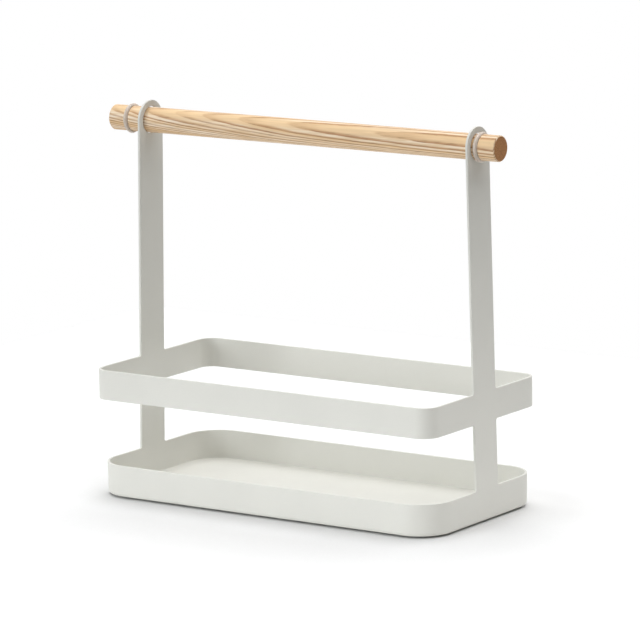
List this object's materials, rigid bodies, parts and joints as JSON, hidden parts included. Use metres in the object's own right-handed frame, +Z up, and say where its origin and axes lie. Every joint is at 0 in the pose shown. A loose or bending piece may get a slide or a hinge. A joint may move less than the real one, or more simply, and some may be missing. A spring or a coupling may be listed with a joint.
{
  "type": "condiment caddy",
  "caption": "Open table caddy for condiment bottles: shallow steel tray, steel rail above it, and a round wooden handle held loosely in the eyes of its steel uprights.",
  "frame": {"origin": "centre of the tray's floor, where the bottles stand; the soles of the foot pads are 2.5 mm lower", "axes": "+X runs along the tray and the handle, to the end where the stop ring lies close to its eye; +Y is to the back; +Z is up"},
  "size_m": [0.2682, 0.116, 0.2273],
  "materials": {
    "powder_coat": "light warm grey powder coat, satin with a fine grain",
    "ash": "oiled ash, straight grain, darker end grain",
    "clear_silicone": "translucent silicone with a grey-pink cast",
    "pad_silicone": "matte clear silicone"
  },
  "bodies": {
    "caddy_frame": {"base_tray": "powder_coat", "upright_left": "powder_coat", "upright_right": "powder_coat", "rail_front": "powder_coat", "rail_back": "powder_coat", "foot_pad_front_left": "pad_silicone", "foot_pad_front_right": "pad_silicone", "foot_pad_back_left": "pad_silicone", "foot_pad_back_right": "pad_silicone"},
    "handle_stops": {"stop_ring_left": "clear_silicone", "stop_ring_right": "clear_silicone"},
    "handle": {"handle_dowel": "ash"}
  },
  "joints": [
    {"name": "handle_slide", "type": "slide", "parent": "caddy_frame", "child": "handle_stops", "axis": [1, 0, 0], "range_m": [-0.0008, 0.0102]},
    {"name": "handle_spin", "type": "hinge", "parent": "handle_stops", "child": "handle", "pos_m": [-0.0047, 0, 0.2131], "axis": [1, 0, 0], "continuous": true}
  ]
}
